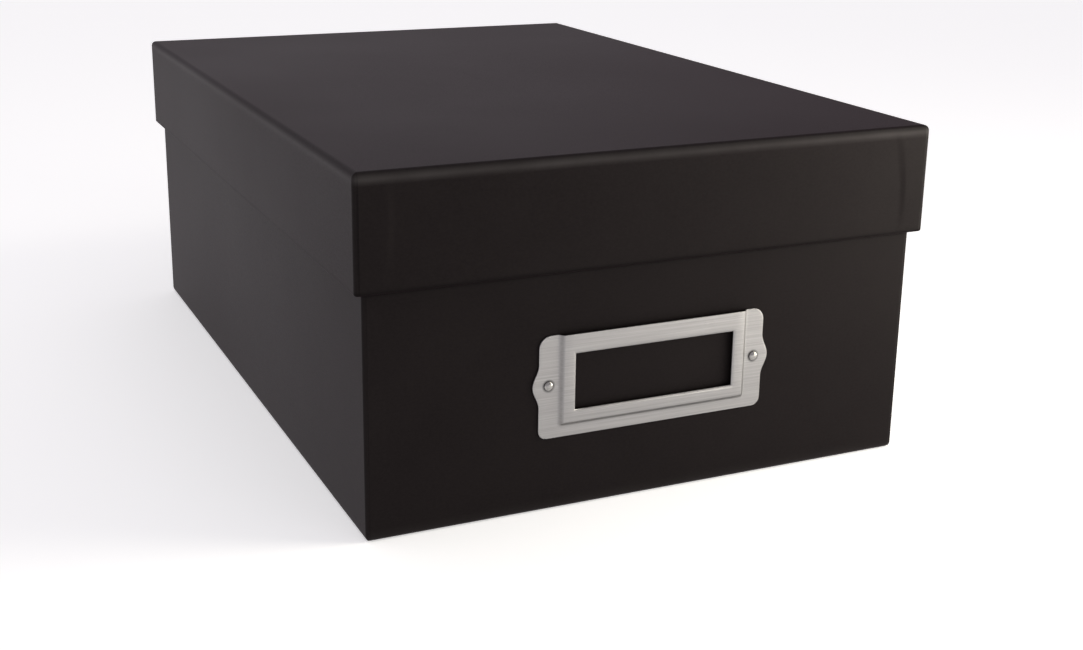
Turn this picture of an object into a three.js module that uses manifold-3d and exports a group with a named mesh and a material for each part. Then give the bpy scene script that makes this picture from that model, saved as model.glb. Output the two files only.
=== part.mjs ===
// An archival box: a deep paper-covered base, a full lift-off lid, and a stamped label holder
// riveted to one short side. Millimetres, +Z up. X runs across that short side, which faces -Y,
// and z = 0 is the surface that the box stands on.
import * as THREE from "three";
import { mergeVertices } from "three/addons/utils/BufferGeometryUtils.js";
import Module from "manifold-3d";

const wasm = await Module();
wasm.setup();

// Driving dimensions

const box = { width: 198.1, depth: 284.5, height: 114.3 }; // outside, with the lid on
const lidHeight = 36;
const reveal = 3.1; // how far the base's sides stand inside the lid's
const lidRest = 0.1; // between the base's rim and the lining that rests on it

// A wall's layers, from the outside in. The stays lie in the gap between wrap and board.
const layer = { wrap: 0.25, stayGap: 0.25, board: 1.5, paste: 0.05, liner: 0.2 };
const cornerRadius = 2.2; // of the box's upright corners, outside
const leastRadius = 0.2; // of any upright corner
const foldRadius = 2; // of the folds round the floor and the lid's top, outside
const turnIn = { base: 18, lid: 14 }; // height of the wrap folded in over the rim
const linerDrop = 3; // the lining stops this far below the rim
const stay = { thickness: 0.15, leg: 12, short: 2.5 }; // short of the fold and of the rim
const boardSlit = 0.2; // the saw-thin joint between neighbouring board walls

const holder = {
  width: 80, // over the ears
  height: 33.6,
  bottom: 24.5, // above the floor
  sheet: 0.5,
  upperRadius: 4, // the ears' outer corners
  lowerRadius: 2.8,
  lobeReach: 2.1, // how far the lobe beside each rivet stands out past the ear
  lobeHalf: 7, // half its height
  raisedHalf: 33.6, // half the width of the raised centre
  raise: 1.5,
  flange: 3.5, // the flat strip below the raised centre
  slope: 1.5, // width and rise of the raised centre's sloping sides
  windowHalf: 28.1,
  windowLow: 33.4, // above the floor
  windowHigh: 51.8,
};
const rivet = { offset: 36.7, height: 41.9, head: 1.6, dome: 0.9, shank: 1.1, tail: 2, clinch: 0.5 };
const washer = { radius: 3.5, hole: 1.25, thickness: 0.5 };
const rivetHole = 1.3; // radius, through the holder and the wall
const rivetFacets = 32;
const arcFacets = 6; // per quarter turn of a rounded corner
const foldFacets = 4; // per quarter turn of a fold
const beyond = 5; // how far a cutter runs past what it cuts

// Depths below a wall's outer face, and the same below the floor's or the lid top's
const inset = { wrap: 0, wrapBack: layer.wrap };
inset.board = inset.wrapBack + layer.stayGap;
inset.boardBack = inset.board + layer.board;
inset.liner = inset.boardBack + layer.paste;
inset.linerBack = inset.liner + layer.liner;
inset.turnIn = inset.linerBack + layer.paste;
inset.inside = inset.turnIn + layer.wrap;
const boardRim = layer.wrap + layer.paste; // the board ends this far below the wrap's rim

const base = {
  width: box.width - 2 * reveal,
  depth: box.depth - 2 * reveal,
  height: box.height - inset.linerBack - lidRest,
};
const front = -base.depth / 2; // the outer face that carries the label holder

const colours = { black: 0x2b2829, grey: 0x8f8b83, kraft: 0xb89d70, white: 0xebe6d8 };
const finish = {
  wrap: { color: colours.black, roughness: 0.62, metalness: 0 },
  board: { color: colours.grey, roughness: 0.9, metalness: 0 },
  stay: { color: colours.kraft, roughness: 0.85, metalness: 0 },
  liner: { color: colours.white, roughness: 0.85, metalness: 0 },
  steel: { color: 0xbcb8b5, roughness: 0.35, metalness: 1 },
  zinc: { color: 0xa9adb0, roughness: 0.45, metalness: 1 },
};

// Solids: three.js shapes them, manifold-3d joins and cuts them

function solidOf(geometry) {
  geometry.deleteAttribute("normal");
  geometry.deleteAttribute("uv");
  const merged = mergeVertices(geometry);
  const vertProperties = new Float32Array(merged.attributes.position.array);
  const triVerts = new Uint32Array(merged.index.array);
  return new wasm.Manifold(new wasm.Mesh({ numProp: 3, vertProperties, triVerts }));
}

function meshOf(name, solid, look) {
  const { numProp, vertProperties, triVerts } = solid.getMesh();
  const positions = new THREE.InterleavedBuffer(new Float32Array(vertProperties), numProp);
  const geometry = new THREE.BufferGeometry();
  geometry.setAttribute("position", new THREE.InterleavedBufferAttribute(positions, 3, 0));
  geometry.setIndex(new THREE.BufferAttribute(new Uint32Array(triVerts), 1));
  geometry.computeVertexNormals();
  return namedMesh(name, geometry, look);
}

function namedMesh(name, geometry, look) {
  const mesh = new THREE.Mesh(geometry, new THREE.MeshStandardMaterial(look));
  mesh.name = name;
  return mesh;
}

function prism(shape, low, high) {
  const options = { depth: high - low, bevelEnabled: false, curveSegments: arcFacets };
  return solidOf(new THREE.ExtrudeGeometry(shape, options).translate(0, 0, low));
}

// The block between two opposite corners
function block(one, other) {
  const size = one.map((value, axis) => Math.abs(value - other[axis]));
  const centre = one.map((value, axis) => (value + other[axis]) / 2);
  return solidOf(new THREE.BoxGeometry(...size).translate(...centre));
}

function roundedRectangle(width, depth, radii) {
  const [x, y] = [width / 2, depth / 2];
  const [backRight, backLeft, frontLeft, frontRight] = radii;
  const shape = new THREE.Shape();
  shape.absarc(x - backRight, y - backRight, backRight, 0, Math.PI / 2);
  shape.absarc(backLeft - x, y - backLeft, backLeft, Math.PI / 2, Math.PI);
  shape.absarc(frontLeft - x, frontLeft - y, frontLeft, Math.PI, 1.5 * Math.PI);
  shape.absarc(x - frontRight, frontRight - y, frontRight, 1.5 * Math.PI, 2 * Math.PI);
  return shape.closePath();
}

// A tray's outline at one depth below its outer faces
function outlineAt(tray, depthIn) {
  const radius = Math.max(cornerRadius - depthIn, leastRadius);
  const radii = [radius, radius, radius, radius];
  return roundedRectangle(tray.width - 2 * depthIn, tray.depth - 2 * depthIn, radii);
}

// The solid inside that outline from one height to another, square at both ends
function section(tray, depthIn, low, high) {
  return prism(outlineAt(tray, depthIn), low, high);
}

// The same with its lower edge rounded, as the layer at that depth is folded up from the floor
function foldedSection(tray, depthIn, high) {
  const radius = foldRadius - depthIn;
  const geometry = new THREE.ExtrudeGeometry(outlineAt(tray, depthIn), {
    depth: high,
    curveSegments: arcFacets,
    bevelThickness: radius,
    bevelSize: radius,
    bevelOffset: -radius,
    bevelSegments: foldFacets,
  });
  const above = block([-tray.width, -tray.depth, high], [tray.width, tray.depth, 2 * high]);
  return solidOf(geometry.translate(0, 0, foldRadius)).subtract(above);
}

// Trays: both halves of the box are built mouth up, with their floor at z = 0

const corners = [[-1, -1], [-1, 1], [1, -1], [1, 1]]; // the x side and the y side of each

function wrapSolid(tray) {
  const bandLow = tray.height - tray.turnIn;
  const boardSpace = foldedSection(tray, inset.wrapBack, tray.height - layer.wrap);
  const mouth = section(tray, inset.inside, inset.wrapBack, tray.height + beyond);
  const band = section(tray, inset.turnIn, bandLow, tray.height).subtract(mouth);
  const outside = foldedSection(tray, inset.wrap, tray.height);
  return outside.subtract(boardSpace).subtract(mouth).add(band);
}

function boardSolid(tray) {
  const rim = tray.height - boardRim;
  const folded = foldedSection(tray, inset.board, rim).subtract(
    section(tray, inset.boardBack, inset.boardBack, rim + beyond),
  );
  const x = tray.width / 2 - inset.boardBack;
  const y = tray.depth / 2 - inset.boardBack;
  return corners.reduce((solid, [sideX, sideY]) => {
    const slit = block(
      [sideX * (x - boardSlit), sideY * (y - layer.board), inset.boardBack],
      [sideX * x, sideY * (y + 2 * layer.board), rim + beyond],
    );
    return solid.subtract(slit);
  }, folded);
}

function linerSolid(tray) {
  const rim = tray.height - linerDrop;
  return section(tray, inset.liner, inset.liner, rim).subtract(
    section(tray, inset.linerBack, inset.linerBack, rim + beyond),
  );
}

// A strip of gummed paper folded round one upright corner of the board
function staySolid(tray, sideX, sideY) {
  const depthIn = inset.board - (layer.stayGap - stay.thickness) / 2;
  const low = inset.board + stay.short;
  const high = tray.height - boardRim - stay.short;
  const sleeve = section(tray, depthIn - stay.thickness, low, high).subtract(
    section(tray, depthIn, 0, tray.height),
  );
  const corner = block(
    [sideX * (tray.width / 2 - stay.leg), sideY * (tray.depth / 2 - stay.leg), 0],
    [sideX * tray.width, sideY * tray.depth, tray.height],
  );
  return sleeve.intersect(corner);
}

// Every layer of one half of the box. A turned-over tray hangs mouth down from the given height.
function trayGroup(tray) {
  const group = new THREE.Group();
  const frontSide = tray.turnedOver ? 1 : -1; // the tray's own y side that ends up at the front
  if (tray.turnedOver) {
    group.rotation.x = Math.PI;
    group.position.z = box.height;
  }
  const pierce = (solid) => tray.holes.reduce((whole, hole) => whole.subtract(hole), solid);
  group.add(meshOf(`${tray.name}_board`, pierce(boardSolid(tray)), finish.board));
  group.add(meshOf(`${tray.name}_wrap`, pierce(wrapSolid(tray)), finish.wrap));
  group.add(meshOf(`${tray.name}_liner`, pierce(linerSolid(tray)), finish.liner));
  for (const [sideX, sideY] of corners) {
    const place = `${sideY === frontSide ? "front" : "back"}_${sideX < 0 ? "left" : "right"}`;
    const name = `${tray.name}_corner_stay_${place}`;
    group.add(meshOf(name, staySolid(tray, sideX, sideY), finish.stay));
  }
  return group;
}

// The label holder lies in its own X-Y plane, with its back at z = 0, and is then stood up

function holderOutline() {
  const { width, height, upperRadius, lowerRadius, lobeReach, lobeHalf } = holder;
  const lobeCentre = rivet.height - holder.bottom - height / 2;
  const ear = roundedRectangle(width, height, [upperRadius, upperRadius, lowerRadius, lowerRadius]);
  const lobes = new THREE.Shape();
  const steps = 2 * arcFacets;
  for (const side of [1, -1])
    for (let step = -steps; step <= steps; step++) {
      const along = (side * step) / steps;
      const reach = (lobeReach * (1 + Math.cos(Math.PI * along))) / 2;
      const point = [side * (width / 2 + reach), lobeCentre + lobeHalf * along];
      if (side === 1 && step === -steps) lobes.moveTo(...point);
      else lobes.lineTo(...point);
    }
  return [ear, lobes.closePath()];
}

// The raised centre's block, shrunk by a margin on its two sides and its lower edge
function raisedBlock(margin, top) {
  const { raisedHalf, flange, slope, height } = holder;
  const half = raisedHalf - margin;
  const low = flange + margin - height / 2;
  const high = height / 2 + beyond;
  const outline = new THREE.Shape();
  outline.moveTo(-half, low).lineTo(half, low).lineTo(half, high).lineTo(-half, high).closePath();
  const geometry = new THREE.ExtrudeGeometry(outline, {
    depth: top,
    bevelThickness: slope,
    bevelSize: slope,
    bevelOffset: -slope,
    bevelSegments: 1,
  });
  return solidOf(geometry.translate(0, 0, -slope));
}

function holderSolid() {
  const { width, height, sheet, raise, windowHalf, windowLow, windowHigh } = holder;
  const middle = holder.bottom + height / 2;
  const back = block([-width, -height, -beyond], [width, height, 0]);
  const above = block([-width, height / 2, -beyond], [width, height, beyond]);
  const opening = block(
    [-windowHalf, windowLow - middle, -beyond],
    [windowHalf, windowHigh - middle, beyond],
  );
  const [ear, lobes] = holderOutline();
  let solid = prism(ear, 0, sheet).add(prism(lobes, 0, sheet));
  solid = solid.add(raisedBlock(0, raise + sheet).subtract(back));
  solid = solid.subtract(raisedBlock(sheet, raise)).subtract(above).subtract(opening);
  for (const side of [-1, 1]) {
    const hole = new THREE.CylinderGeometry(rivetHole, rivetHole, 2 * beyond, rivetFacets);
    hole.rotateX(Math.PI / 2).translate(side * rivet.offset, rivet.height - middle, 0);
    solid = solid.subtract(solidOf(hole));
  }
  return solid;
}

// Rivets and washers are turned about their own Y axis, with y = 0 at the box's outer face and
// +y outwards

const wallThickness = inset.linerBack;
const washerOuter = -wallThickness - layer.paste; // the washer's face against the wall
const washerInner = washerOuter - washer.thickness;

function rivetGeometry() {
  const headFace = holder.sheet + 2 * layer.paste;
  const tailFace = washerInner - layer.paste;
  const domeRadius = (rivet.head ** 2 + rivet.dome ** 2) / (2 * rivet.dome);
  const domeHalfAngle = Math.asin(rivet.head / domeRadius);
  const domePoint = (share) => {
    const angle = domeHalfAngle * (1 - share);
    const rise = domeRadius * (Math.cos(angle) - Math.cos(domeHalfAngle));
    return new THREE.Vector2(domeRadius * Math.sin(angle), headFace + rise);
  };
  const profile = [
    new THREE.Vector2(0, tailFace - rivet.clinch),
    new THREE.Vector2(rivet.tail, tailFace - rivet.clinch),
    new THREE.Vector2(rivet.tail, tailFace),
    new THREE.Vector2(rivet.shank, tailFace),
    new THREE.Vector2(rivet.shank, headFace),
  ];
  for (let step = 0; step < arcFacets; step++) profile.push(domePoint(step / arcFacets));
  profile.push(new THREE.Vector2(0, headFace + rivet.dome));
  return new THREE.LatheGeometry(profile, rivetFacets);
}

function washerGeometry() {
  const ring = [
    [washer.hole, washerInner],
    [washer.radius, washerInner],
    [washer.radius, washerOuter],
    [washer.hole, washerOuter],
    [washer.hole, washerInner],
  ];
  return new THREE.LatheGeometry(ring.map(([x, y]) => new THREE.Vector2(x, y)), rivetFacets);
}

function fastening() {
  const group = new THREE.Group();
  for (const [side, place] of [[-1, "left"], [1, "right"]]) {
    const pair = new THREE.Group();
    pair.add(namedMesh(`rivet_${place}`, rivetGeometry(), finish.steel));
    pair.add(namedMesh(`washer_${place}`, washerGeometry(), finish.zinc));
    pair.position.set(side * rivet.offset, front, rivet.height);
    pair.rotation.x = Math.PI;
    group.add(pair);
  }
  return group;
}

function standingHolder() {
  const mesh = meshOf("label_holder", holderSolid(), finish.steel);
  mesh.rotation.x = Math.PI / 2;
  mesh.position.set(0, front - layer.paste, holder.bottom + holder.height / 2);
  return mesh;
}

// The rivets' holes through the base's front wall
const wallHoles = [-1, 1].map((side) => {
  const drill = new THREE.CylinderGeometry(rivetHole, rivetHole, 2 * beyond, rivetFacets);
  return solidOf(drill.translate(side * rivet.offset, front, rivet.height));
});

const archivalBox = new THREE.Group();
archivalBox.add(trayGroup({ name: "base", ...base, turnIn: turnIn.base, holes: wallHoles }));
archivalBox.add(
  trayGroup({
    name: "lid",
    width: box.width,
    depth: box.depth,
    height: lidHeight,
    turnIn: turnIn.lid,
    turnedOver: true,
    holes: [],
  }),
);
archivalBox.add(standingHolder());
archivalBox.add(fastening());

export default archivalBox;
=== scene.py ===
"""The archival box's looks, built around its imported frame.

Metres, +Z up, the short side with the label holder facing -Y. Outer sizes come from the CAD
nodes' boxes; what a box can't tell is a named value below.
"""
import math
from typing import NamedTuple

import bmesh
import bpy
from mathutils import Matrix, Quaternion, Vector, noise


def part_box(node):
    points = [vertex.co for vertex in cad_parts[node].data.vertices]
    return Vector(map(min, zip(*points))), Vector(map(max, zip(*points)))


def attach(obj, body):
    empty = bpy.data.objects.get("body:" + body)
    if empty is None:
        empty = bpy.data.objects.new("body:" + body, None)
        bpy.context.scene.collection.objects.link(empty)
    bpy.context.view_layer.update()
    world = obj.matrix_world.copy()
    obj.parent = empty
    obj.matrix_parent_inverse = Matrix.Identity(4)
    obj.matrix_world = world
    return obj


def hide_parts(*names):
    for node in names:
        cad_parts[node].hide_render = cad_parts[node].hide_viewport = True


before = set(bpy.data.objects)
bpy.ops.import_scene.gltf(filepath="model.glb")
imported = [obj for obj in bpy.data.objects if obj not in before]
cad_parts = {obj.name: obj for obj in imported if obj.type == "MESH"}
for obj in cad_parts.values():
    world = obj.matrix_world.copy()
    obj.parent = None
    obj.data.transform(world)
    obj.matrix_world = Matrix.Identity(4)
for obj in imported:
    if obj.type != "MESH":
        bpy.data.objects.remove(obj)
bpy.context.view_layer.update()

MM = 0.001

# ---------------------------------------------------------------- sizes

# The covering paper of the base and the lid
PAPER = 0.25 * MM
INSIDE_IN = 2.55 * MM  # from a wall's outer face to the bare face of the turned-in paper
BASE_RADIUS = 0.9 * MM  # of the four upright corners
LID_RADIUS = 1.1 * MM
LEAST_RADIUS = 0.2 * MM  # of those corners, however deep inside the wall
FOLD_RADIUS = 2 * MM  # of the folds round the floor and the lid's top
RIM_RADIUS = 0.8 * MM  # of the paper over the board's cut edge
BASE_TURN_IN = 18 * MM
LID_TURN_IN = 14 * MM

# Its wear and painted light: folds and corners shine, the folds partly rubbed and partly with a
# painted highlight, and a painted shadow band, rougher too, runs along the lid's rim
BURNISH_AND_HIGHLIGHT = 2 * MM  # how far the shine of a fold reaches onto the wall
CORNER_WEAR = 0.1  # shine of the upright corners, as a share of the lid's folds'
BASE_RUB_AND_HIGHLIGHT = 0.15  # of the fold round the floor, as a share of the lid's
SIDE_RUB_AND_HIGHLIGHT = 0.25  # and of the long sides' folds, as a share of the short sides'
BAND_HALF = 1.7 * MM  # half the painted shadow band's height
BAND_CORE = 0.4  # share of the band, round its middle, that is fully shaded
BAND_SHADE = 0.75  # how dark that painted shadow is, and how much rougher the paper is there
SIDE_SHADE = 0.3  # its strength on the long sides, as a share of the short sides'

# How far that paper is from flat
FLAP_RISE = 0.2 * MM  # of the lid's front and back paper, over the flaps glued beneath it
FLAP_EDGE = 2.6 * MM  # width of the slope down from a flap
FLAP_AT_FOLD = {-1: 11.6 * MM, 1: 15 * MM}  # a flap's width at the fold, left and right
FLAP_AT_RIM = {-1: 9.6 * MM, 1: 11.4 * MM}
FLAP_BULGE = {-1: 2 * MM, 1: -2.4 * MM}  # how much wider it is half way down
FLAP_FADE = 0.7  # share of its rise a flap loses towards the fold and the rim
FADE_FROM = 0.4  # where that loss starts, as a share of the way from mid-height to either
FADE_OVER = 0.5  # and the share of that way it takes
SEAM = 0.06 * MM  # step down where the front and back paper end, just short of the corners
SEAM_IN = 0.3 * MM  # from the corner's bend to that step
SEAM_EDGE = 0.1 * MM
BOW = 0.18 * MM  # how far the long walls stand out, and the top and the floor sink
WAVE = 0.045 * MM  # unevenness of paper pasted on board
WAVE_LENGTH = 27 * MM
FLATTENED = 9 * MM  # distance from a bend over which the unevenness builds up

# Where the paper has points
SUPPORT = 0.4 * MM  # an extra row this close beside a bend keeps the flat beyond it flat
FOLD_STEPS = 7
RIM_STEPS = 5
CORNER_STEPS = 7
FLOOR_MIDDLE = 3 * MM  # half the width of the floor's innermost ring
FLOOR_NEAR_FOLD = [14 * MM, 9 * MM, 5 * MM]  # depths of the floor's last rings
FLOOR_RINGS = 8  # evenly spread, up to the first of those
WALL_SPACING = 6 * MM
SEAM_COLUMNS = [value * MM for value in (0.15, 0.3, 0.4, 0.6, 1, 2.2, 4.5)]  # from a corner's bend
FLAP_COLUMNS = (6 * MM, 15 * MM, 19)  # first, last and number
PLAIN_COLUMNS = (7 * MM, 11 * MM, 2)
MIDDLE_COLUMNS = (18 * MM, 10)  # first and number, as far as the middle of the side

# The label holder
EAR_HALF = 40 * MM  # half its width, without its lobes
LOBE_HALF = 7 * MM  # half a lobe's height
SHEET = 0.5 * MM
UPPER_RADIUS = 4 * MM  # of the ears' corners
LOWER_RADIUS = 2.8 * MM
RAISE = 1.5 * MM
RAISED_HALF = 33.7 * MM  # half the raised centre's width at its foot
FLANGE = 3.4 * MM  # height of the flat strip below the raised centre
SLOPE = 1.9 * MM  # width of the raised centre's sloping sides
WINDOW_HALF = 28.1 * MM
WINDOW_LOW = 33.4 * MM  # above the floor
WINDOW_HIGH = 51.8 * MM
ROLL = 0.3 * MM  # how far the sheet rolls in round the window
ROLL_WIDTH = 0.9 * MM
ROLL_SHARES = (0, 0.2, 0.4, 0.65, 1)  # where that roll has points, across its width
SLOPE_POINTS = 9
EAR_POINTS = 12
WINDOW_POINTS = (9, 25)  # across half its width, and up its height
UPPER_STEPS = 6
LOWER_STEPS = 5
HOLDER_BEVEL = 0.1 * MM
SHARP = math.radians(50)  # edges sharper than this are bevelled

# The rivets
RIVET_HOLE = 1.3 * MM
RIVET_HEAD = 1.6 * MM
RIVET_DOME = 0.9 * MM
RIVET_SHANK = 1.1 * MM
RIVET_TAIL = 2 * MM
RIVET_CLINCH = 0.5 * MM
RIVET_EDGE = 0.1 * MM  # rounding of the tail
RIVET_SIDES = 48
DOME_STEPS = 8
DRILL = 3 * MM  # length of the holes cut for them, more than the sheet and the paper
RING = 2.3 * MM  # radius of the painted shadow ring round a head

# Places read from the frame
holder_low, holder_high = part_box("label_holder")
HOLDER_HEIGHT = holder_high.z - holder_low.z
LOBE_REACH = holder_high.x - EAR_HALF
rivet_low, rivet_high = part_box("rivet_right")
RIVET_X = (rivet_low.x + rivet_high.x) / 2
RIVET_Z = (rivet_low.z + rivet_high.z) / 2

# ---------------------------------------------------------------- helpers


def smooth_step(value):
    """0 below 0, 1 above 1, smooth between."""
    t = min(max(value, 0.0), 1.0)
    return t * t * (3 - 2 * t)


def spread(low, high, count):
    """Even values from low to high, both included."""
    return [low + (high - low) * k / (count - 1) for k in range(count)]


def quarter(steps):
    """(sine, cosine) at each step of a quarter turn, both ends included."""
    angles = spread(0, math.pi / 2, steps + 1)
    return [(math.sin(angle), math.cos(angle)) for angle in angles]


def turned(x, y, quarters):
    """A point turned that many quarter turns about the z axis."""
    for _ in range(quarters):
        x, y = -y, x
    return x, y


def mesh_from(bm, name):
    """A smooth-shaded mesh, its faces pointing out."""
    bmesh.ops.recalc_face_normals(bm, faces=bm.faces)
    mesh = bpy.data.meshes.new(name)
    bm.to_mesh(mesh)
    bm.free()
    mesh.shade_smooth()
    return mesh


def add_piece(name, mesh, body, material):
    """A detailed piece that stands for the CAD node it is named after."""
    piece = bpy.data.objects.new(name + "_skin", mesh)
    bpy.context.scene.collection.objects.link(piece)
    mesh.materials.append(material)
    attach(piece, body)
    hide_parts(name)
    return piece


def drill_rivet_hole(piece, x):
    """Cuts a rivet's hole along y, half of it to each side of the plane of the holder's back."""
    bm = bmesh.new()
    turn = Matrix.Rotation(math.pi / 2, 4, "X")
    bmesh.ops.create_cone(
        bm,
        cap_ends=True,
        segments=RIVET_SIDES,
        radius1=RIVET_HOLE,
        radius2=RIVET_HOLE,
        depth=DRILL,
        matrix=Matrix.Translation((x, holder_high.y, RIVET_Z)) @ turn,
    )
    drill = bpy.data.objects.new("drill", mesh_from(bm, "drill"))
    bpy.context.scene.collection.objects.link(drill)
    cut = piece.modifiers.new("hole", "BOOLEAN")
    cut.object = drill
    cut.solver = "EXACT"
    evaluated = piece.evaluated_get(bpy.context.evaluated_depsgraph_get())
    mesh = bpy.data.meshes.new_from_object(evaluated)
    piece.modifiers.clear()
    piece.data = mesh
    bpy.data.objects.remove(drill)


# ---------------------------------------------------------------- materials

MIX_SHARE, MIX_ONE, MIX_OTHER, MIX_RESULT = 0, 6, 7, 2  # a Mix node's sockets for colours


def rgba(red, green, blue):
    """An opaque colour."""
    return (red, green, blue, 1.0)


class Nodes:
    """Shorthand for building a node tree."""

    def __init__(self, tree):
        self.tree = tree

    def feed(self, node, socket, value):
        """Sets a socket, by name or number, to a value or links it to another node's output."""
        target = node.inputs[socket]
        if isinstance(value, bpy.types.NodeSocket):
            self.tree.links.new(value, target)
        else:
            target.default_value = value

    def add(self, kind, **inputs):
        node = self.tree.nodes.new("ShaderNode" + kind)
        for socket, value in inputs.items():
            self.feed(node, socket.replace("_", " "), value)
        return node

    def remap(self, value, low, high, start=0.3, stop=0.7):
        """low where the value is start, high where it is stop, even between and level beyond."""
        node = self.add(
            "MapRange", Value=value, From_Min=start, From_Max=stop, To_Min=low, To_Max=high
        )
        return node.outputs["Result"]

    def math(self, operation, one, other=0.0):
        node = self.add("Math")
        node.operation = operation
        self.feed(node, 0, one)
        self.feed(node, 1, other)
        return node.outputs["Value"]


class Look(Nodes):
    """A node material under construction."""

    def __init__(self, name, **shader):
        self.material = bpy.data.materials.new(name)
        self.material.use_nodes = True
        super().__init__(self.material.node_tree)
        self.shader = self.tree.nodes["Principled BSDF"]
        for socket, value in shader.items():
            self.feed(self.shader, socket.replace("_", " "), value)
        self.place = self.add("TexCoord").outputs["Object"]

    def noise(self, size, detail=3.0, stretch=(1, 1, 1)):
        """Noise whose largest grains are that big; stretch above 1 makes them narrower."""
        mapping = self.add("Mapping", Vector=self.place, Scale=stretch)
        vector = mapping.outputs["Vector"]
        return self.add("TexNoise", Vector=vector, Scale=1 / size, Detail=detail).outputs["Fac"]

    def painted(self, name):
        """The value of that name on the mesh's points."""
        node = self.add("Attribute")
        node.attribute_name = name
        return node.outputs["Fac"]

    def mix(self, share, one, other):
        """One colour, and that share of the other."""
        node = self.add("Mix")
        node.data_type = "RGBA"
        for socket, value in ((MIX_SHARE, share), (MIX_ONE, one), (MIX_OTHER, other)):
            self.feed(node, socket, value)
        return node.outputs[MIX_RESULT]

    def colour(self, tone):
        """Feeds a colour to the shader, in place of any before it."""
        self.feed(self.shader, "Base Color", tone)

    def bump(self, *layers):
        """Stacks (height, depth in metres) layers and feeds them to the shader's normal."""
        normal = None
        for height, depth in layers:
            node = self.add("Bump", Height=height, Distance=depth)
            if normal:
                self.feed(node, "Normal", normal)
            normal = node.outputs["Normal"]
        self.feed(self.shader, "Normal", normal)


def covering_paper():
    """Near-black covering paper: close grain, satin face, burnished where it bends, with a painted
    highlight on the folds and a painted shadow along the lid's rim.
    """
    look = Look(
        "covering_paper",
        Specular_IOR_Level=0.06,
        Specular_Tint=rgba(1, 0.87, 0.9),
        Sheen_Weight=0.013,
        Sheen_Roughness=0.4,
        Sheen_Tint=rgba(1, 0.05, 0.5),
    )
    black, warm_black = rgba(0.0048, 0.0038, 0.0038), rgba(0.0062, 0.0050, 0.0049)
    fibre_grey, rubbed_highlight_grey = rgba(0.0125, 0.0104, 0.0102), rgba(0.04, 0.037, 0.036)
    painted_shadow_black = rgba(0.002, 0.0017, 0.0016)
    cloud = look.noise(110 * MM, 2)
    mottle = look.noise(24 * MM, 4)
    fibre = look.noise(1.1 * MM, 5, (1, 0.3, 1.6))
    grain = look.noise(0.32 * MM, 3)
    patches = look.remap(look.noise(20 * MM, 3), 0.6, 1)
    rubbed_and_highlight = look.math("MULTIPLY", look.painted("wear_and_highlight"), patches)
    painted_shadow = look.painted("shade")

    tone = look.mix(look.remap(mottle, 0, 1), black, warm_black)
    tone = look.mix(look.remap(fibre, 0, 0.35), tone, fibre_grey)
    # Painted highlight: the folds turn lighter grey, partly rubbed paper and partly the light they
    # catch.
    tone = look.mix(look.math("MULTIPLY", rubbed_and_highlight, 0.8), tone, rubbed_highlight_grey)
    # Painted shadow: near black along the lid's rim and on the base just under it.
    look.colour(look.mix(painted_shadow, tone, painted_shadow_black))

    roughness = look.math("ADD", look.remap(cloud, 0.455, 0.485), look.remap(grain, -0.04, 0.05))
    roughness = look.math("SUBTRACT", roughness, look.math("MULTIPLY", rubbed_and_highlight, 0.15))
    roughness = look.math("ADD", roughness, look.math("MULTIPLY", painted_shadow, 0.2))
    look.feed(look.shader, "Roughness", roughness)
    look.bump((mottle, 0.05 * MM), (fibre, 0.012 * MM), (grain, 0.008 * MM))
    return look.material


def plain_paper(name, light, dark, roughness):
    """Uncoated paper with faint clouds and fibres."""
    look = Look(name, Roughness=roughness, Specular_IOR_Level=0.3)
    mottle = look.noise(16 * MM, 4)
    fibre = look.noise(0.9 * MM, 5, (1, 0.3, 1.4))
    tone = look.mix(look.remap(mottle, 0, 1), light, dark)
    look.colour(look.mix(look.remap(fibre, 0, 0.3), tone, dark))
    look.bump((mottle, 0.015 * MM), (fibre, 0.01 * MM))
    return look.material


def grey_board():
    """Recycled board: grey with darker flecks."""
    look = Look("grey_board", Roughness=0.85, Specular_IOR_Level=0.25)
    fleck = look.noise(0.7 * MM, 5, (1, 0.35, 1.5))
    mottle = look.noise(11 * MM, 4)
    dark, light, ink = rgba(0.23, 0.215, 0.195), rgba(0.3, 0.285, 0.26), rgba(0.08, 0.075, 0.07)
    tone = look.mix(look.remap(mottle, 0, 1), dark, light)
    look.colour(look.mix(look.remap(fleck, 0, 0.6, 0.5, 0.75), tone, ink))
    look.bump((fleck, 0.03 * MM))
    return look.material


def metal(name, light, dark, roughness, streak, streak_depth):
    """The look and the colour of rolled or turned metal; streak is its stretch along x, y, z."""
    look = Look(name, Metallic=1.0, Anisotropic=0.3)
    lines = look.noise(MM, 6, streak)
    smudge = look.noise(13 * MM, 4)
    tone = look.mix(look.remap(lines, 0, 1), light, dark)
    look.colour(tone)
    lined = look.remap(lines, roughness - 0.05, roughness + 0.05)
    look.feed(look.shader, "Roughness", look.math("ADD", lined, look.remap(smudge, -0.03, 0.05)))
    look.bump((lines, streak_depth))
    return look, tone


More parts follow.
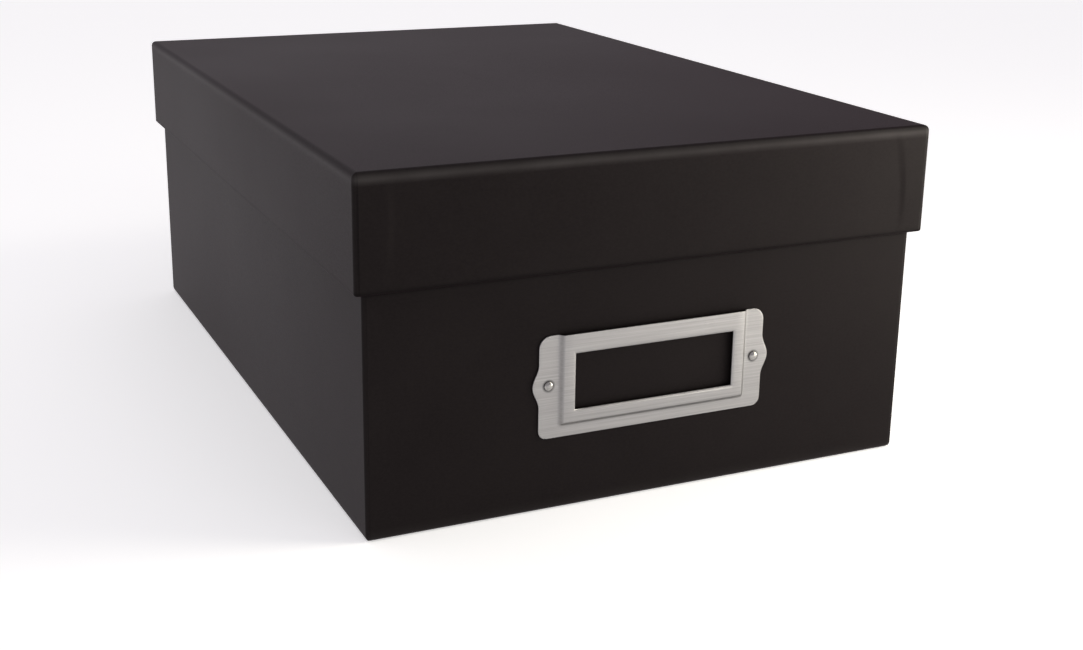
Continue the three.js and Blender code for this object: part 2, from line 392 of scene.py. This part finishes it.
def pressed_steel():
    """The label holder's steel, darkened by painted shade in its pressed slopes and by a painted
    shadow ring round the rivets' heads.
    """
    light, dark = rgba(0.345, 0.336, 0.334), rgba(0.275, 0.267, 0.266)
    slope_shade_grey, ring_shadow_grey = rgba(0.16, 0.155, 0.15), rgba(0.05, 0.05, 0.05)
    look, tone = metal("holder_steel", light, dark, 0.34, (0.03, 1, 2.5), 0.003 * MM)
    place = look.add("SeparateXYZ", Vector=look.place).outputs
    across = look.math("SUBTRACT", look.math("ABSOLUTE", place["X"]), RIVET_X)
    up = look.math("SUBTRACT", place["Z"], RIVET_Z)
    squares = [look.math("MULTIPLY", value, value) for value in (across, up)]
    # Painted shadow: a dark ring round each rivet's head.
    ring = look.remap(look.math("ADD", *squares), 1, 0, RIVET_HEAD**2, RING**2)
    # Painted shade: the pressed slopes darken with their steepness.
    tone = look.mix(look.math("MULTIPLY", look.painted("slope"), 0.5), tone, slope_shade_grey)
    look.colour(look.mix(look.math("MULTIPLY", ring, 0.8), tone, ring_shadow_grey))
    return look.material


def rivet_metal():
    """The rivets' steel: brighter and smoother, with no direction to its lines."""
    light, dark = rgba(0.38, 0.37, 0.36), rgba(0.27, 0.26, 0.25)
    look, _ = metal("rivet_steel", light, dark, 0.22, (3, 3, 3), 0.001 * MM)
    return look.material


def washer_metal():
    """The washers' zinc plating."""
    light, dark = rgba(0.57, 0.58, 0.6), rgba(0.5, 0.51, 0.53)
    look, _ = metal("washer_zinc", light, dark, 0.38, (2, 2, 2), 0.003 * MM)
    return look.material


# ---------------------------------------------------------------- covering paper


class Row(NamedTuple):
    """One ring of the paper's points, by its place in the paper's section."""

    depth: float  # inside the outer face
    height: float  # above the floor, or below the lid's top
    sag: float = 0.0  # how much it follows the floor's sag
    bow: float = 0.0  # how much it follows the walls' bow and unevenness
    lap: float = 0.0  # how much it follows the laps over the flaps
    wear_and_highlight: float = 0.0  # how burnished it is, and how strong the painted highlight is there


class Spot(NamedTuple):
    """One point of the outline."""

    x: float
    y: float
    out_x: float  # the way out of the box there
    out_y: float
    corner: float  # 0 on the sides, 1 half way round a corner


class Tray:
    """One half of the box: its outer faces, and which way its mouth points."""

    def __init__(self, node, radius, turn_in, mouth_up, has_flaps, band):
        low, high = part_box(node)
        self.half_x, self.half_y = high.x, high.y
        self.height = high.z - low.z
        self.floor_z = low.z if mouth_up else high.z
        self.up = 1 if mouth_up else -1
        self.radius, self.turn_in = radius, turn_in
        self.has_flaps = has_flaps
        self.fold_rub_and_highlight = BASE_RUB_AND_HIGHLIGHT if mouth_up else 1
        self.band = band  # height of the middle of the painted shadow band, counted as a row's is
        self.short_side = self.shares(self.half_x - radius, has_flaps)
        self.long_side = self.shares(self.half_y - radius, False)

    def shares(self, half, has_flaps):
        """Where a side has points, as shares of half its straight stretch, from -1 to 1."""
        first, count = MIDDLE_COLUMNS
        from_bend = SEAM_COLUMNS + spread(*(FLAP_COLUMNS if has_flaps else PLAIN_COLUMNS))
        from_bend += spread(first, half, count)[:-1]
        side = [1 - value / half for value in from_bend]
        return [-value for value in side] + [0.0] + side[::-1]

    def outline(self, depth):
        """The spots round the tray, that deep inside its faces."""
        radius = max(self.radius - depth, LEAST_RADIUS)
        half_x, half_y = self.half_x - depth - radius, self.half_y - depth - radius
        spots = []
        for turn in range(4):
            half, other, shares = half_x, half_y, self.short_side
            if turn % 2:
                half, other, shares = half_y, half_x, self.long_side
            side = [(share * half, -other - radius, 0, -1, 0) for share in shares]
            for s, c in quarter(CORNER_STEPS):
                side.append((half + radius * s, -radius * c - other, s, -c, 2 * s * c))
            for x, y, out_x, out_y, corner in side:
                spots.append(Spot(*turned(x, y, turn), *turned(out_x, out_y, turn), corner))
        return spots

    def wave(self, spot, height):
        place = Vector((spot.x, spot.y, height * self.up + self.floor_z)) / WAVE_LENGTH
        return WAVE * noise.noise(place)

    def sag(self, spot):
        """How far the floor's or top's paper sinks inwards."""
        middle = (1 - (spot.x / self.half_x) ** 2) * (1 - (spot.y / self.half_y) ** 2)
        near_x = smooth_step((self.half_x - abs(spot.x) - FOLD_RADIUS) / FLATTENED)
        near_y = smooth_step((self.half_y - abs(spot.y) - FOLD_RADIUS) / FLATTENED)
        return BOW * middle + self.wave(spot, 0) * near_x * near_y

    def stand(self, spot, height):
        """How far a wall's paper stands out."""
        along = self.half_y - abs(spot.y) if spot.out_x else self.half_x - abs(spot.x)
        near = smooth_step((along - self.radius) / FLATTENED)
        near *= smooth_step((height - FOLD_RADIUS) / FLATTENED)
        near *= smooth_step((self.height - height - RIM_RADIUS) / FLATTENED)
        bow = BOW * (1 - (spot.y / self.half_y) ** 2) * abs(spot.out_x)
        return (bow + self.wave(spot, height)) * near

    def lap(self, spot, height):
        """How far the front and back paper stands out over the flaps, less at its ends."""
        from_bend = self.half_x - abs(spot.x) - self.radius
        covered = smooth_step((from_bend - SEAM_IN) / SEAM_EDGE)
        rise = 0.0
        if self.has_flaps:
            side = 1 if spot.x > 0 else -1
            share = height / self.height
            width = FLAP_AT_FOLD[side] * (1 - share) + FLAP_AT_RIM[side] * share
            width += FLAP_BULGE[side] * math.sin(math.pi * share)
            fade = smooth_step((abs(2 * share - 1) - FADE_FROM) / FADE_OVER)
            rise = FLAP_RISE * smooth_step((width - self.radius - from_bend) / FLAP_EDGE)
            rise *= 1 - fade * FLAP_FADE
        return (rise * covered - SEAM * (1 - covered)) * abs(spot.out_y)

    def wall_heights(self):
        """Heights of the walls' rows, closer together beside the fold and in the painted shadow
        band.
        """
        heights = [FOLD_RADIUS + SUPPORT, FOLD_RADIUS + BURNISH_AND_HIGHLIGHT / 2, FOLD_RADIUS + BURNISH_AND_HIGHLIGHT]
        highest = self.height - RIM_RADIUS - SUPPORT
        count = 3 + round(self.height / WALL_SPACING)
        heights += spread(FOLD_RADIUS + 2 * BURNISH_AND_HIGHLIGHT, highest, count)
        band = [self.band + share * BAND_HALF for share in (-1, -BAND_CORE, BAND_CORE, 1)]
        return sorted(heights + [height for height in band if height < highest])

    def rows(self):
        """The paper's section, from the floor's middle out, over the rim and back."""
        top, cut_edge = self.height, self.height - self.turn_in
        fold, rim, paper, inner = FOLD_RADIUS, RIM_RADIUS, PAPER, INSIDE_IN
        tight_fold, tight_rim = fold - paper, rim - paper
        folds, rims = quarter(FOLD_STEPS), quarter(RIM_STEPS)
        floor = spread(self.half_x - FLOOR_MIDDLE, FLOOR_NEAR_FOLD[0], FLOOR_RINGS)
        floor += FLOOR_NEAR_FOLD[1:] + [fold + SUPPORT]
        walls = self.wall_heights()
        burnish_and_highlight = [1 - smooth_step((height - fold) / BURNISH_AND_HIGHLIGHT) for height in walls]
        band = spread(top - 2 * rim, cut_edge + paper, 5)

        rows = [Row(depth, 0, sag=1) for depth in floor]
        rows += [Row(fold - fold * s, fold - fold * c, lap=s, wear_and_highlight=s**3) for s, c in folds]
        rows += [Row(0, height, bow=1, lap=1, wear_and_highlight=wear_and_highlight) for height, wear_and_highlight in zip(walls, burnish_and_highlight)]
        rows += [Row(rim - rim * c, top - rim + rim * s, lap=c) for s, c in rims]
        rows += [Row(inner - rim + rim * s, top - rim + rim * c) for s, c in rims]
        rows += [Row(inner, height) for height in band]
        rows += [Row(inner - paper / 2, cut_edge), Row(inner - paper, cut_edge + paper)]
        rows += [Row(inner - rim + tight_rim * c, top - rim + tight_rim * s) for s, c in rims]
        rows += [Row(rim - tight_rim * s, top - rim + tight_rim * c) for s, c in rims]
        rows += [Row(paper, height, bow=1) for height in reversed(walls)]
        rows += [Row(fold - tight_fold * c, fold - tight_fold * s) for s, c in folds]
        rows += [Row(depth, paper, sag=1) for depth in reversed(floor)]
        return rows

    def skin(self, name):
        """The covering paper: one closed sheet through rings of points, one to a row."""
        bm = bmesh.new()
        rings, wear_and_highlight, shade = [], [], []
        for row in self.rows():
            ring = []
            # The shade values are a painted shadow along the lid's rim, on the lid and on the base
            # under it.
            from_band = abs(row.height - self.band) / BAND_HALF
            painted_shadow = 1 - smooth_step((from_band - BAND_CORE) / (1 - BAND_CORE))
            for spot in self.outline(row.depth):
                out = row.bow * self.stand(spot, row.height) + row.lap * self.lap(spot, row.height)
                x, y = spot.x + out * spot.out_x, spot.y + out * spot.out_y
                sunk = row.height + row.sag * self.sag(spot)
                ring.append(bm.verts.new((x, y, self.floor_z + self.up * sunk)))
                # Fold wear is partly rubbing and partly a painted highlight.
                folded = row.wear_and_highlight * self.fold_rub_and_highlight
                folded *= SIDE_RUB_AND_HIGHLIGHT + (1 - SIDE_RUB_AND_HIGHLIGHT) * abs(spot.out_y)
                wear_and_highlight.append(max(folded, CORNER_WEAR * spot.corner if row.bow else 0))
                shade.append(BAND_SHADE * painted_shadow * (SIDE_SHADE + (1 - SIDE_SHADE) * abs(spot.out_y)))
            rings.append(ring)
        for lower, upper in zip(rings, rings[1:]):
            for k, here in enumerate(lower):
                n = (k + 1) % len(lower)
                bm.faces.new((here, lower[n], upper[n], upper[k]))
        bm.faces.new(rings[0])
        bm.faces.new(reversed(rings[-1]))
        mesh = mesh_from(bm, name)
        for label, values in (("wear_and_highlight", wear_and_highlight), ("shade", shade)):
            mesh.attributes.new(label, "FLOAT", "POINT").data.foreach_set("value", values)
        return mesh


# ---------------------------------------------------------------- label holder and rivets


def ear_edge(height):
    """Half the holder's width at a height above its lower edge."""
    half = EAR_HALF
    for radius, corner in ((LOWER_RADIUS, height), (UPPER_RADIUS, HOLDER_HEIGHT - height)):
        short = max(radius - corner, 0)
        half -= radius - math.sqrt(radius**2 - short**2)
    along = (height + holder_low.z - RIVET_Z) / LOBE_HALF
    if abs(along) < 1:
        half += LOBE_REACH * (1 + math.cos(math.pi * along)) / 2
    return half


def holder_rise(x, height):
    """How far the holder's sheet stands out from its ears' plane, and how steep it is there."""
    side = smooth_step((RAISED_HALF - abs(x)) / SLOPE)
    foot = smooth_step((height - FLANGE) / SLOPE)
    above_floor = height + holder_low.z
    outside = max(abs(x) - WINDOW_HALF, WINDOW_LOW - above_floor, above_floor - WINDOW_HIGH)
    roll = max(1 - outside / ROLL_WIDTH, 0) ** 2
    slope = 4 * max(side * (1 - side) * foot, foot * (1 - foot) * side)
    return RAISE * side * foot - ROLL * roll, slope


def holder_columns():
    """Each column as (x of its foot, share of the way from there to the ear's edge)."""
    window = spread(0, WINDOW_HALF, WINDOW_POINTS[0])[1:-1]
    roll = [WINDOW_HALF + share * ROLL_WIDTH for share in ROLL_SHARES]
    slope = [RAISED_HALF - SLOPE * share for share in spread(1, 0, SLOPE_POINTS)]
    right = [(x, 0) for x in window + roll + slope]
    right += [(RAISED_HALF, share) for share in spread(0, 1, EAR_POINTS)[1:]]
    return [(-x, share) for x, share in reversed(right)] + [(0, 0)] + right


def holder_rows():
    """Heights of the holder's rows of points above its lower edge."""
    low, high = WINDOW_LOW - holder_low.z, WINDOW_HIGH - holder_low.z
    roll = [share * ROLL_WIDTH for share in ROLL_SHARES]
    heights = [LOWER_RADIUS * (1 - c) for _, c in quarter(LOWER_STEPS)]
    heights += [FLANGE + SLOPE * share for share in spread(0, 1, SLOPE_POINTS)]
    heights += [low - value for value in reversed(roll)]
    heights += spread(low, high, WINDOW_POINTS[1])[1:-1]
    heights += [high + value for value in roll]
    heights += [HOLDER_HEIGHT - UPPER_RADIUS * (1 - s) for s, _ in quarter(UPPER_STEPS)]
    return heights


def in_window(x, height):
    above_floor = height + holder_low.z
    return abs(x) < WINDOW_HALF and WINDOW_LOW < above_floor < WINDOW_HIGH


def holder_mesh(name):
    """The pressed sheet: a grid of points for its front, one for its back, joined at the edges."""
    columns, rows = holder_columns(), holder_rows()
    bm = bmesh.new()
    steepness = bm.verts.layers.float.new("slope")
    grid = []
    for height in rows:
        line = []
        for foot, share in columns:
            x = foot + math.copysign(share * (ear_edge(height) - RAISED_HALF), foot)
            rise, slope = holder_rise(x, height)
            back = holder_high.y - rise
            z = holder_low.z + height
            spots = bm.verts.new((x, back - SHEET, z)), bm.verts.new((x, back, z))
            for spot in spots:
                spot[steepness] = slope
            line.append(spots)
        grid.append(line)
    for lower, upper, low, high in zip(grid, grid[1:], rows, rows[1:]):
        for k, (left, right) in enumerate(zip(columns, columns[1:])):
            if in_window((left[0] + right[0]) / 2, (low + high) / 2):
                continue
            around = lower[k], lower[k + 1], upper[k + 1], upper[k]
            for face in (0, 1):
                bm.faces.new([spots[face] for spots in around])
    partner = {front: back for line in grid for front, back in line}
    for edge in [edge for edge in bm.edges if edge.is_boundary and edge.verts[0] in partner]:
        one, other = edge.verts
        bm.faces.new((one, other, partner[other], partner[one]))
    bmesh.ops.delete(bm, geom=[vert for vert in bm.verts if not vert.link_faces], context="VERTS")
    bmesh.ops.recalc_face_normals(bm, faces=bm.faces)
    sharp = [edge for edge in bm.edges if edge.calc_face_angle(0) > SHARP]
    bmesh.ops.bevel(
        bm, geom=sharp, offset=HOLDER_BEVEL, segments=2, profile=0.5, affect="EDGES"
    )
    return mesh_from(bm, name)


def rivet_mesh(name, x):
    """A domed head outside, a shank through the wall and a clinched tail on the washer."""
    length = rivet_high.y - rivet_low.y
    tail = length - RIVET_CLINCH
    profile = [(RIVET_HEAD * s, RIVET_DOME * (1 - c)) for s, c in quarter(DOME_STEPS)]
    profile += [(RIVET_SHANK, RIVET_DOME), (RIVET_SHANK, tail)]
    profile += [(RIVET_TAIL - RIVET_EDGE, tail), (RIVET_TAIL, tail + RIVET_EDGE)]
    profile += [(RIVET_TAIL - 2 * RIVET_EDGE, length), (0, length)]
    bm = bmesh.new()
    rings = []
    for radius, along in profile:
        ring = []
        for k in range(RIVET_SIDES if radius else 1):
            angle = 2 * math.pi * k / RIVET_SIDES
            across, up = radius * math.cos(angle), radius * math.sin(angle)
            ring.append(bm.verts.new((x + across, rivet_low.y + along, RIVET_Z + up)))
        rings.append(ring)
    for one, other in zip(rings, rings[1:]):
        for k in range(RIVET_SIDES):
            n = (k + 1) % RIVET_SIDES
            around = (one, k), (one, n), (other, n), (other, k)
            corners = [ring[place % len(ring)] for ring, place in around]
            bm.faces.new(list(dict.fromkeys(corners)))
    return mesh_from(bm, name)


# ---------------------------------------------------------------- the camera

CAMERA_PLACE = (-0.2246, -0.5347, 0.2071)
CAMERA_TURN = (24.23, 16.16, 0.63)  # degrees: yaw, pitch, roll
CAMERA_LENS = 50.5
CAMERA_SHIFT = (0.020, -0.055)


def add_camera():
    yaw, pitch, roll = (math.radians(value) for value in CAMERA_TURN)
    level = math.cos(pitch)
    forward = Vector((math.sin(yaw) * level, math.cos(yaw) * level, -math.sin(pitch)))
    data = bpy.data.cameras.new("camera")
    data.lens = CAMERA_LENS
    data.shift_x, data.shift_y = CAMERA_SHIFT
    camera = bpy.data.objects.new("camera", data)
    camera.location = CAMERA_PLACE
    camera.rotation_mode = "QUATERNION"
    camera.rotation_quaternion = forward.to_track_quat("-Z", "Y") @ Quaternion((0, 0, 1), roll)
    bpy.context.scene.collection.objects.link(camera)
    bpy.context.scene.camera = camera


add_camera()

# ---------------------------------------------------------------- the pieces

lid_low, lid_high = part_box("lid_wrap")
base_tray = Tray(
    "base_wrap",
    radius=BASE_RADIUS,
    turn_in=BASE_TURN_IN,
    mouth_up=True,
    has_flaps=False,
    band=lid_low.z,
)
lid_tray = Tray(
    "lid_wrap",
    radius=LID_RADIUS,
    turn_in=LID_TURN_IN,
    mouth_up=False,
    has_flaps=True,
    band=lid_high.z - lid_low.z,
)
paper, steel, rivet_steel = covering_paper(), pressed_steel(), rivet_metal()
base_wrap = add_piece("base_wrap", base_tray.skin("base_wrap"), "base", paper)
add_piece("lid_wrap", lid_tray.skin("lid_wrap"), "lid", paper)
holder = add_piece("label_holder", holder_mesh("label_holder"), "base", steel)
for side, place in ((-1, "left"), (1, "right")):
    rivet = "rivet_" + place
    add_piece(rivet, rivet_mesh(rivet, side * RIVET_X), "base", rivet_steel)
    for piece in (base_wrap, holder):
        drill_rivet_hole(piece, side * RIVET_X)

# The CAD nodes that stay, by a word in their names
KEPT = {
    "board": grey_board(),
    "liner": plain_paper("lining_paper", rgba(0.84, 0.82, 0.76), rgba(0.8, 0.78, 0.72), 0.8),
    "corner_stay": plain_paper("stay_paper", rgba(0.36, 0.25, 0.14), rgba(0.27, 0.18, 0.1), 0.75),
    "washer": washer_metal(),
}
for node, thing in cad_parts.items():
    for word, material in KEPT.items():
        if word in node:
            thing.material_slots[0].material = material

# ---------------------------------------------------------------- floor and light

FLOOR_HALF = 6.0
FLOOR_GLOW = 0.4  # the floor shines a little, so that it stays pale in the box's shadow
HORIZON = 0.95  # brightness of the studio's wall where it meets the floor
SKY_LEFT = 0.65  # and above that, to the left
SKY_RIGHT = 0.25  # and to the right
SKY_TURN = (0.3, 0.65)  # how far right the first gives way to the second
SKY_START = (0.03, 0.2)  # heights between which the wall's brightness gives way to the sky's
COOL = (1.0, 0.965, 1.01)
WARM = (1.0, 0.96, 0.83)
FRONT_RIGHT = (0.08, -0.14, 0.06)
SOFTBOXES = {  # name: place, the point it faces, size, power and colour
    "left": ((-0.7, 0.25, 0.12), (-0.1, 0, 0.06), (0.5, 0.2), 0.5, COOL),
    "right_near": ((0.35, -0.30, 0.12), FRONT_RIGHT, (0.2, 0.2), 1.3, WARM),
    "over": ((0.6, -0.35, 0.6), (0.05, -0.14, 0.1), (0.25, 0.25), 1.5, WARM),
    "right_low": ((0.5, -0.5, 0.05), FRONT_RIGHT, (0.5, 0.08), 0.6, WARM),
}


def add_floor():
    bm = bmesh.new()
    bmesh.ops.create_grid(bm, x_segments=1, y_segments=1, size=FLOOR_HALF)
    floor = bpy.data.objects.new("floor", mesh_from(bm, "floor"))
    bpy.context.scene.collection.objects.link(floor)
    look = Look(
        "floor",
        Base_Color=rgba(0.9, 0.9, 0.9),
        Roughness=0.9,
        Specular_IOR_Level=0.1,
        Emission_Color=rgba(1, 1, 1),
        Emission_Strength=FLOOR_GLOW,
    )
    floor.data.materials.append(look.material)


def add_world():
    """A round studio: a white wall at the floor, dimmer above it, dimmest to the right."""
    world = bpy.data.worlds.new("studio")
    world.use_nodes = True
    nodes = Nodes(world.node_tree)
    way = nodes.add("TexCoord").outputs["Generated"]
    parts = nodes.add("SeparateXYZ", Vector=way).outputs
    sky = nodes.remap(parts["X"], SKY_LEFT, SKY_RIGHT, *SKY_TURN)
    background = world.node_tree.nodes["Background"]
    nodes.feed(background, "Strength", nodes.remap(parts["Z"], HORIZON, sky, *SKY_START))
    nodes.feed(background, "Color", rgba(*COOL))
    bpy.context.scene.world = world


def add_softbox(name, place, aim, size, power, colour):
    data = bpy.data.lights.new(name, "AREA")
    data.shape = "RECTANGLE"
    data.size, data.size_y = size
    data.energy = power
    data.color = colour
    light = bpy.data.objects.new(name, data)
    light.location = place
    light.rotation_mode = "QUATERNION"
    light.rotation_quaternion = (Vector(aim) - Vector(place)).to_track_quat("-Z", "Y")
    light.visible_camera = False
    bpy.context.scene.collection.objects.link(light)


add_floor()
add_world()
for name, softbox in SOFTBOXES.items():
    add_softbox(name, *softbox)
bpy.context.scene.view_settings.view_transform = "Standard"
